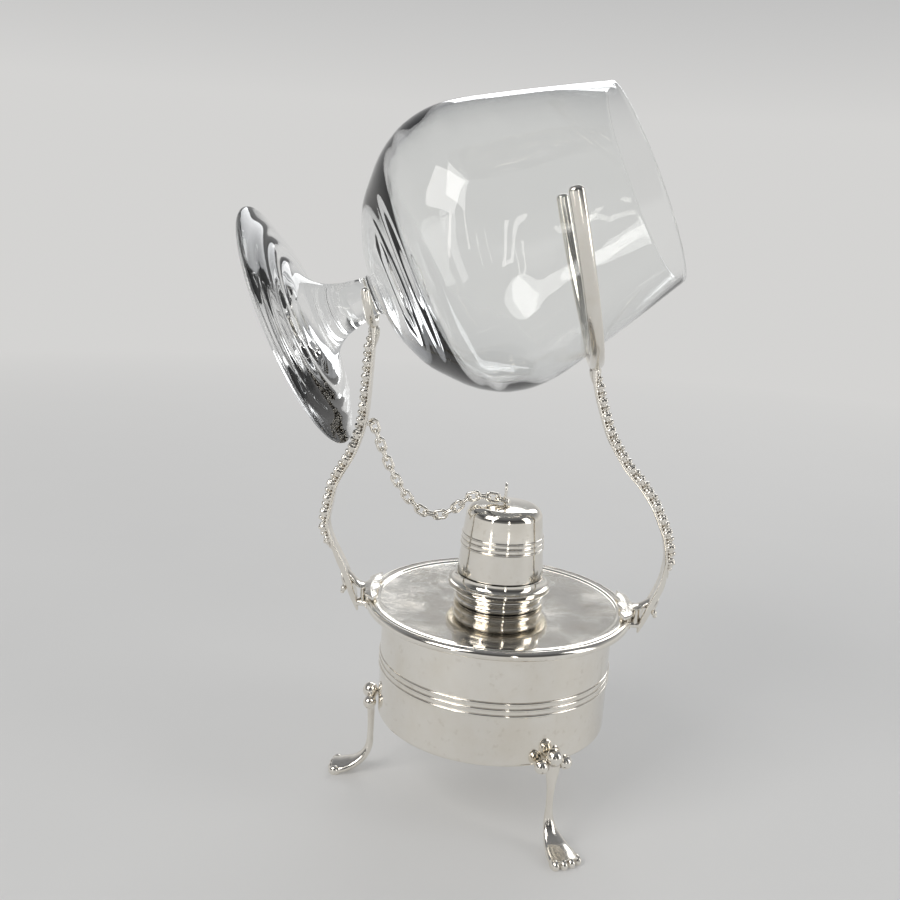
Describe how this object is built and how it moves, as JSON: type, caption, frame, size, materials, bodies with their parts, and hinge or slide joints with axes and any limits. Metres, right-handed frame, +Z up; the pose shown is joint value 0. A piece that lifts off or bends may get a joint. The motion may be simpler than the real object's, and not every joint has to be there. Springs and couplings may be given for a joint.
{
  "type": "brandy warmer",
  "caption": "Silver-plated spirit-burner stand on cast feet; two forked relief arms hold a tilted balloon glass over a snuffer cap on a fine chain.",
  "frame": {"origin": "centre of the reservoir's flat underside, on the axis of drum, burner and cap", "axes": "+Z up along the drum's axis; +X towards the arm under the bowl, -X towards the arm that holds the glass's stem; +Y away from the picture's camera"},
  "size_m": [0.1484, 0.1002, 0.2384],
  "materials": {
    "silver_plate": "mirror-polished silver plate",
    "cast_silver": "cast relief, silver-plated, dulled in the hollows",
    "clear_glass": "clear blown glass",
    "cotton_wick": "braided cotton"
  },
  "bodies": {
    "stand": {"reservoir_drum": "silver_plate", "deck_plate": "silver_plate", "neck_collar": "silver_plate", "burner_flange": "silver_plate", "stem_arm": "cast_silver", "bowl_arm": "cast_silver", "chain_staple": "silver_plate", "foot_1": "cast_silver", "foot_2": "cast_silver", "foot_3": "cast_silver"},
    "wick": {"wick": "cotton_wick"},
    "cap": {"snuffer_cap": "silver_plate", "cap_loop": "silver_plate", "chain_link_17": "silver_plate", "chain_link_18": "silver_plate", "chain_link_19": "silver_plate", "chain_link_20": "silver_plate"},
    "glass": {"balloon_glass": "clear_glass"},
    "link_01": {"chain_link_01": "silver_plate"},
    "link_02": {"chain_link_02": "silver_plate"},
    "link_03": {"chain_link_03": "silver_plate"},
    "link_04": {"chain_link_04": "silver_plate"},
    "link_05": {"chain_link_05": "silver_plate"},
    "link_06": {"chain_link_06": "silver_plate"},
    "link_07": {"chain_link_07": "silver_plate"},
    "link_08": {"chain_link_08": "silver_plate"},
    "link_09": {"chain_link_09": "silver_plate"},
    "link_10": {"chain_link_10": "silver_plate"},
    "link_11": {"chain_link_11": "silver_plate"},
    "link_12": {"chain_link_12": "silver_plate"},
    "link_13": {"chain_link_13": "silver_plate"},
    "link_14": {"chain_link_14": "silver_plate"},
    "link_15": {"chain_link_15": "silver_plate"},
    "link_16": {"chain_link_16": "silver_plate"}
  },
  "joints": [
    {"name": "cap_lift", "type": "slide", "parent": "stand", "child": "cap", "axis": [0, 0, 1], "range_m": [0, 0.012]},
    {"name": "glass_lift", "type": "slide", "parent": "stand", "child": "glass", "axis": [0, 0, 1], "range_m": [0, 0.1]},
    {"name": "wick_feed", "type": "slide", "parent": "stand", "child": "wick", "axis": [0, 0, 1], "range_m": [0, 0.005]},
    {"name": "link_01_swing", "type": "hinge", "parent": "stand", "child": "link_01", "pos_m": [-0.04542, 0, 0.0996], "axis": [-0.0418, -0.9991, 0], "range_deg": [0, 3.82]},
    {"name": "link_02_swing", "type": "hinge", "parent": "link_01", "child": "link_02", "pos_m": [-0.04472, -0.00003, 0.09773], "axis": [-0.0418, -0.9991, 0], "range_deg": [0, 1.46]},
    {"name": "link_03_swing", "type": "hinge", "parent": "link_02", "child": "link_03", "pos_m": [-0.04303, -0.0001, 0.09345], "axis": [-0.0418, -0.9991, 0], "range_deg": [0, 1.83]},
    {"name": "link_04_swing", "type": "hinge", "parent": "link_03", "child": "link_04", "pos_m": [-0.04225, -0.00013, 0.09161], "axis": [-0.0418, -0.9991, 0], "range_deg": [0, 1.99]},
    {"name": "link_05_swing", "type": "hinge", "parent": "link_04", "child": "link_05", "pos_m": [-0.04035, -0.00021, 0.08742], "axis": [-0.0418, -0.9991, 0], "range_deg": [0, 1.63]},
    {"name": "link_06_swing", "type": "hinge", "parent": "link_05", "child": "link_06", "pos_m": [-0.03947, -0.00025, 0.08563], "axis": [-0.0418, -0.9991, 0], "range_deg": [0, 1.88]},
    {"name": "link_07_swing", "type": "hinge", "parent": "link_06", "child": "link_07", "pos_m": [-0.03727, -0.00034, 0.08158], "axis": [-0.0418, -0.9991, 0], "range_deg": [0, 1.39]},
    {"name": "link_08_swing", "type": "hinge", "parent": "link_07", "child": "link_08", "pos_m": [-0.03623, -0.00038, 0.07988], "axis": [-0.0418, -0.9991, 0], "range_deg": [0, 2.1]},
    {"name": "link_09_swing", "type": "hinge", "parent": "link_08", "child": "link_09", "pos_m": [-0.03357, -0.0005, 0.07613], "axis": [-0.0418, -0.9991, 0], "range_deg": [0, 1.51]},
    {"name": "link_10_swing", "type": "hinge", "parent": "link_09", "child": "link_10", "pos_m": [-0.03227, -0.00055, 0.07461], "axis": [-0.0418, -0.9991, 0], "range_deg": [0, 4.11]},
    {"name": "link_11_swing", "type": "hinge", "parent": "link_10", "child": "link_11", "pos_m": [-0.02879, -0.0007, 0.0716], "axis": [-0.0418, -0.9991, 0], "range_deg": [0, 6.11]},
    {"name": "link_12_swing", "type": "hinge", "parent": "link_11", "child": "link_12", "pos_m": [-0.02703, -0.00077, 0.07065], "axis": [-0.0418, -0.9991, 0], "range_deg": [0, 3.31]},
    {"name": "link_13_swing", "type": "hinge", "parent": "link_12", "child": "link_13", "pos_m": [-0.02248, -0.00096, 0.06998], "axis": [-0.0418, -0.9991, 0], "range_deg": [0, 6.25]},
    {"name": "link_14_swing", "type": "hinge", "parent": "link_13", "child": "link_14", "pos_m": [-0.02055, -0.00104, 0.07048], "axis": [-0.0418, -0.9991, 0], "range_deg": [0, 7.98]},
    {"name": "link_15_swing", "type": "hinge", "parent": "link_14", "child": "link_15", "pos_m": [-0.01664, -0.0012, 0.0729], "axis": [-0.0418, -0.9991, 0], "range_deg": [-5.12, 0]},
    {"name": "link_16_swing", "type": "hinge", "parent": "link_15", "child": "link_16", "pos_m": [-0.01519, -0.00127, 0.07427], "axis": [-0.0418, -0.9991, 0], "range_deg": [-35.9, 0]}
  ],
  "couplings": [
    {"joint": "link_01_swing", "follows": "cap_lift", "rad_per_m": 5.5493},
    {"joint": "link_02_swing", "follows": "cap_lift", "rad_per_m": 2.1206},
    {"joint": "link_03_swing", "follows": "cap_lift", "rad_per_m": 2.6654},
    {"joint": "link_04_swing", "follows": "cap_lift", "rad_per_m": 2.8967},
    {"joint": "link_05_swing", "follows": "cap_lift", "rad_per_m": 2.3711},
    {"joint": "link_06_swing", "follows": "cap_lift", "rad_per_m": 2.74},
    {"joint": "link_07_swing", "follows": "cap_lift", "rad_per_m": 2.0149},
    {"joint": "link_08_swing", "follows": "cap_lift", "rad_per_m": 3.054},
    {"joint": "link_09_swing", "follows": "cap_lift", "rad_per_m": 2.1901},
    {"joint": "link_10_swing", "follows": "cap_lift", "rad_per_m": 5.9758},
    {"joint": "link_11_swing", "follows": "cap_lift", "rad_per_m": 8.8822},
    {"joint": "link_12_swing", "follows": "cap_lift", "rad_per_m": 4.8104},
    {"joint": "link_13_swing", "follows": "cap_lift", "rad_per_m": 9.0944},
    {"joint": "link_14_swing", "follows": "cap_lift", "rad_per_m": 11.605},
    {"joint": "link_15_swing", "follows": "cap_lift", "rad_per_m": -7.4522},
    {"joint": "link_16_swing", "follows": "cap_lift", "rad_per_m": -52.21}
  ]
}
